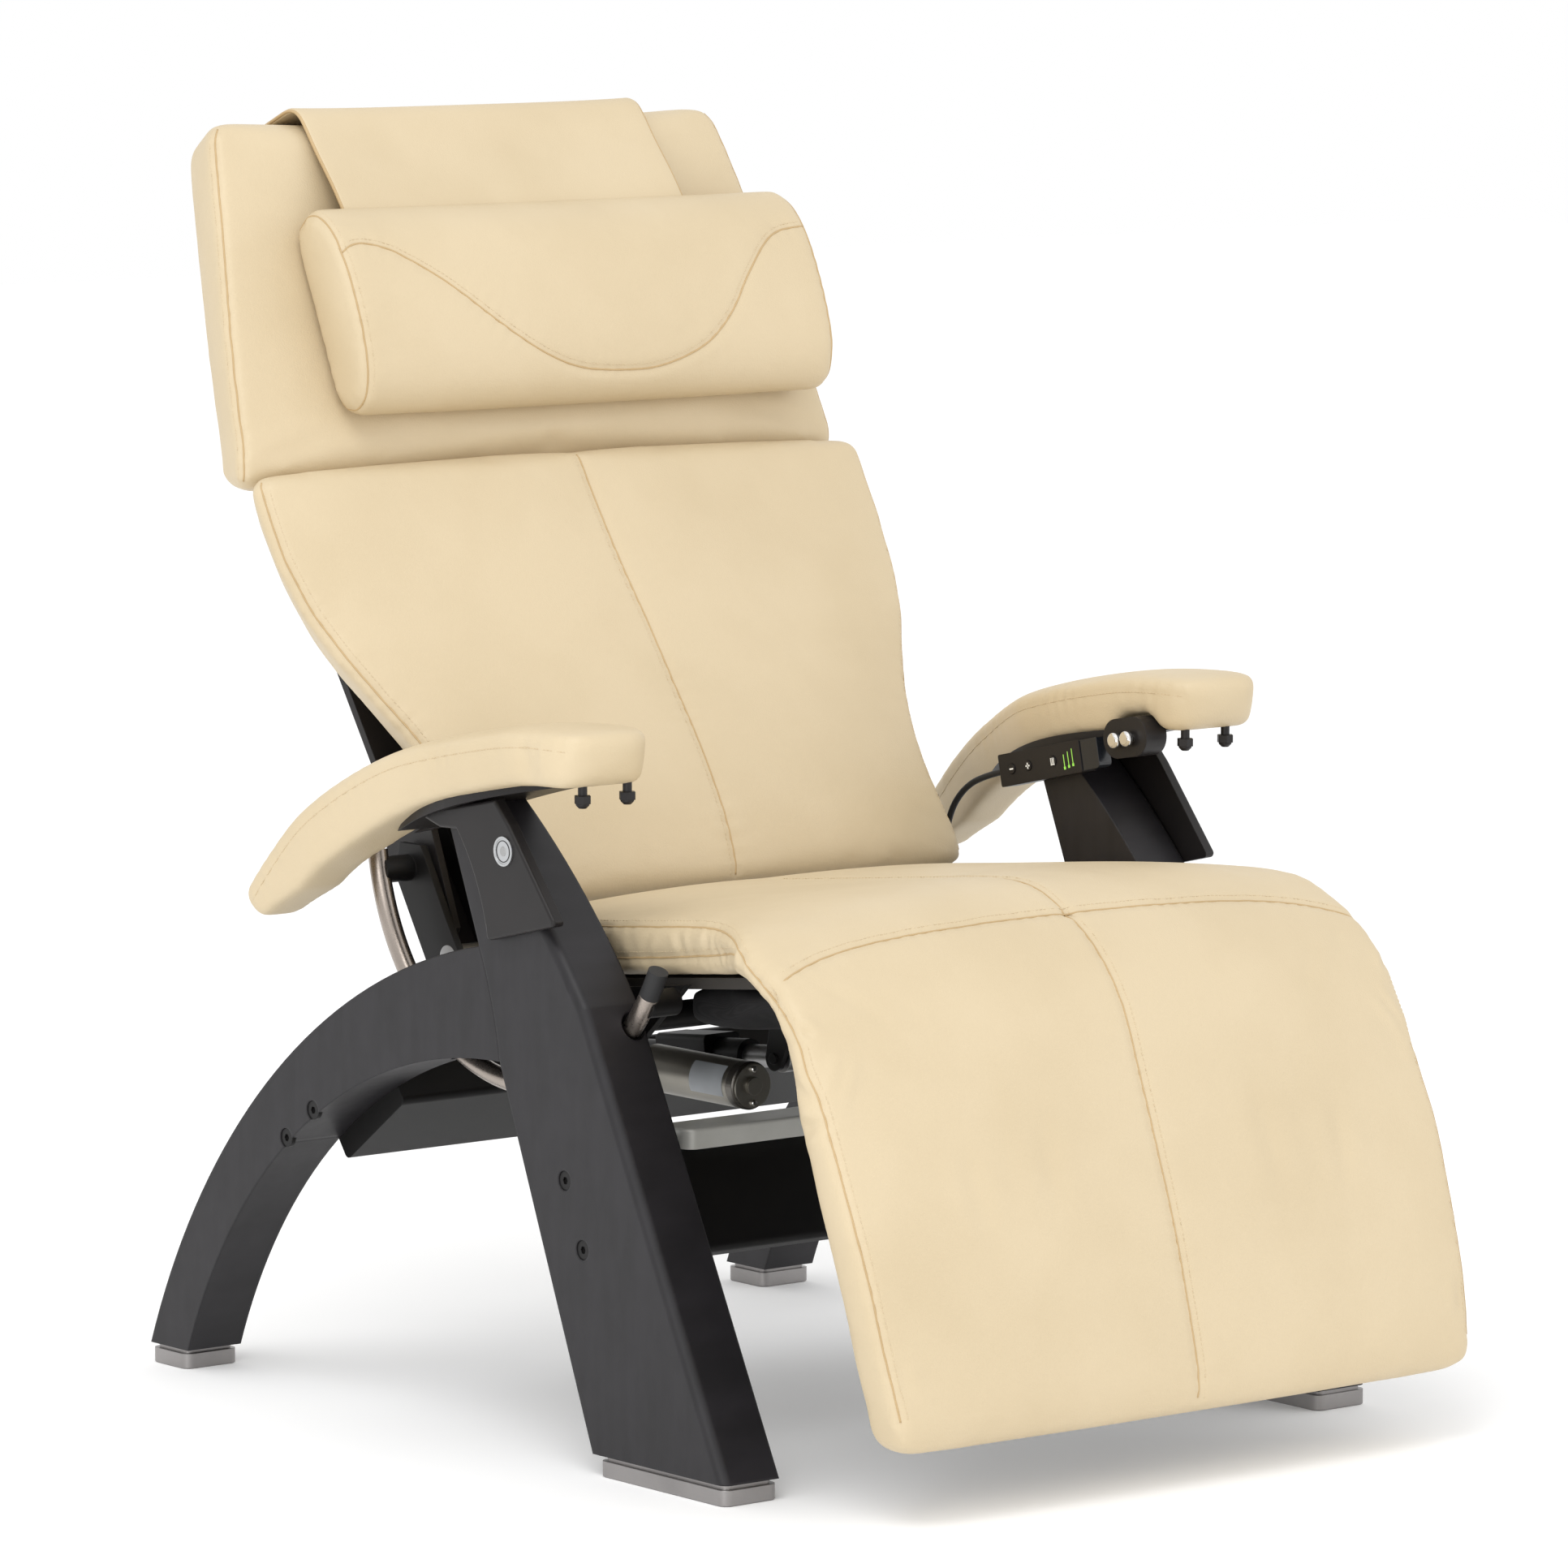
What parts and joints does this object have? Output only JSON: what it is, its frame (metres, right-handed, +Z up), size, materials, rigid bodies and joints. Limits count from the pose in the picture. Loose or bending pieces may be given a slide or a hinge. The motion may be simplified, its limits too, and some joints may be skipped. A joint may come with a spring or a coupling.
{
  "type": "massage chair",
  "caption": "Powered zero-gravity recliner with a black wooden A-frame, cream leather pads, head pillow, leg rest, curved arms and a heat and massage keypad.",
  "frame": {"origin": "on the floor, centred under the chair's bounding box with the leg rest down and the back upright", "axes": "+X to the sitter's left, -Y the way the sitter faces, +Z up"},
  "size_m": [0.822, 1.1378, 1.1457],
  "materials": {
    "lacquered_wood": "satin black lacquer",
    "cream_leather": "smooth, soft sheen",
    "brushed_aluminium": "brushed",
    "gunmetal_tube": "satin metallic",
    "dark_plastic": "fine texture",
    "black_steel": "powder coat",
    "black_fabric": "plain weave",
    "silver_badge": "satin",
    "bright_chrome": "polished",
    "motor_grey": "satin",
    "black_rubber": "matte",
    "board": "plain",
    "zinc_steel": "zinc plated"
  },
  "bodies": {
    "base": {"left_front_leg": "lacquered_wood", "right_front_leg": "lacquered_wood", "left_rear_leg": "lacquered_wood", "right_rear_leg": "lacquered_wood", "front_feet": "brushed_aluminium", "rear_feet": "brushed_aluminium", "leg_bolts": "black_steel", "front_cross_beam": "lacquered_wood", "cross_beam_trim": "brushed_aluminium", "rear_cross_beam": "lacquered_wood", "tower_covers": "dark_plastic", "tower_badges": "silver_badge", "arm_pans": "dark_plastic", "left_arm_pad": "cream_leather", "right_arm_pad": "cream_leather", "arm_knobs": "dark_plastic", "switch_housing": "dark_plastic", "control_box": "dark_plastic", "control_box_cap": "dark_plastic", "control_cable": "black_rubber", "tube_bushes": "dark_plastic", "actuator_bracket": "black_steel", "power_supply": "dark_plastic"},
    "seat": {"left_swing_tube": "gunmetal_tube", "right_swing_tube": "gunmetal_tube", "tube_plugs": "dark_plastic", "side_plates": "black_steel", "seat_cross_tube": "black_steel", "back_hinge_shaft": "zinc_steel", "seat_lugs": "black_steel", "seat_pan": "board", "seat_cushion": "cream_leather", "under_seat_cover": "black_fabric", "air_pump": "dark_plastic", "knee_pins": "zinc_steel"},
    "leg_rest": {"leg_rest_frame": "black_steel", "leg_rest_panel": "board", "leg_rest_cushion": "cream_leather"},
    "back": {"back_frame": "black_steel", "back_cushion": "cream_leather", "lumbar_bladder": "black_rubber", "massage_motors": "zinc_steel", "back_wings": "dark_plastic", "back_shell": "dark_plastic", "head_cushion": "cream_leather", "head_panel": "black_fabric", "strap_top": "cream_leather"},
    "pillow": {"head_pillow": "cream_leather", "strap_front": "cream_leather"},
    "counterweight": {"counterweight": "cream_leather"},
    "recline_actuator": {"recline_gearbox": "dark_plastic", "recline_motor": "motor_grey"},
    "recline_rod": {"recline_rod": "zinc_steel"},
    "leg_actuator": {"leg_actuator": "dark_plastic"},
    "leg_rod": {"leg_rod": "zinc_steel"},
    "button_back": {"button_back": "bright_chrome"},
    "button_leg": {"button_leg": "bright_chrome"},
    "key_minus": {"key_minus": "dark_plastic"},
    "key_plus": {"key_plus": "dark_plastic"},
    "key_heat": {"key_heat": "dark_plastic"}
  },
  "joints": [
    {"name": "seat_swing", "type": "hinge", "parent": "base", "child": "seat", "pos_m": [0, -0.031, 0.529], "axis": [-1, 0, 0], "range_deg": [0, 18]},
    {"name": "back_recline", "type": "hinge", "parent": "seat", "child": "back", "pos_m": [0, 0.12, 0.405], "axis": [-1, 0, 0], "range_deg": [0, 24.1]},
    {"name": "leg_rest_lift", "type": "hinge", "parent": "seat", "child": "leg_rest", "pos_m": [0, -0.352, 0.44], "axis": [-1, 0, 0], "range_deg": [0, 35]},
    {"name": "pillow_slide", "type": "slide", "parent": "back", "child": "pillow", "axis": [0, 0.3972, 0.9178], "range_m": [-0.03, 0.03]},
    {"name": "counterweight_slide", "type": "slide", "parent": "back", "child": "counterweight", "axis": [0, 0.3972, 0.9178], "range_m": [-0.0301, 0.0301]},
    {"name": "recline_actuator_pivot", "type": "hinge", "parent": "base", "child": "recline_actuator", "pos_m": [-0.105, 0.147, 0.304], "axis": [-1, 0, 0], "range_deg": [0, 6.1]},
    {"name": "recline_rod_slide", "type": "slide", "parent": "recline_actuator", "child": "recline_rod", "axis": [0, -0.9958, 0.0918], "range_m": [0, 0.063]},
    {"name": "leg_actuator_pivot", "type": "hinge", "parent": "seat", "child": "leg_actuator", "pos_m": [0.08, -0.06, 0.34], "axis": [-1, 0, 0], "range_deg": [0, 4.6]},
    {"name": "leg_rod_slide", "type": "slide", "parent": "leg_actuator", "child": "leg_rod", "axis": [0, -0.9999, -0.016], "range_m": [0, 0.0592]},
    {"name": "button_back_press", "type": "slide", "parent": "base", "child": "button_back", "axis": [1, 0, 0], "range_m": [0, 0.0025], "stiffness_N_per_m": 600, "springref_m": -0.001},
    {"name": "button_leg_press", "type": "slide", "parent": "base", "child": "button_leg", "axis": [1, 0, 0], "range_m": [0, 0.0025], "stiffness_N_per_m": 600, "springref_m": -0.001},
    {"name": "key_minus_press", "type": "slide", "parent": "base", "child": "key_minus", "axis": [1, 0, 0], "range_m": [0, 0.0006], "stiffness_N_per_m": 1500, "springref_m": -0.0005},
    {"name": "key_plus_press", "type": "slide", "parent": "base", "child": "key_plus", "axis": [1, 0, 0], "range_m": [0, 0.0006], "stiffness_N_per_m": 1500, "springref_m": -0.0005},
    {"name": "key_heat_press", "type": "slide", "parent": "base", "child": "key_heat", "axis": [1, 0, 0], "range_m": [0, 0.0006], "stiffness_N_per_m": 1500, "springref_m": -0.0005}
  ],
  "couplings": [
    {"joint": "back_recline", "follows": "seat_swing", "ratio": 1.3333},
    {"joint": "counterweight_slide", "follows": "pillow_slide", "ratio": -1},
    {"joint": "recline_actuator_pivot", "follows": "seat_swing", "ratio": 0.3325},
    {"joint": "recline_rod_slide", "follows": "seat_swing", "m_per_rad": 0.19914},
    {"joint": "leg_actuator_pivot", "follows": "leg_rest_lift", "ratio": 0.1293},
    {"joint": "leg_rod_slide", "follows": "leg_rest_lift", "m_per_rad": 0.09625}
  ]
}
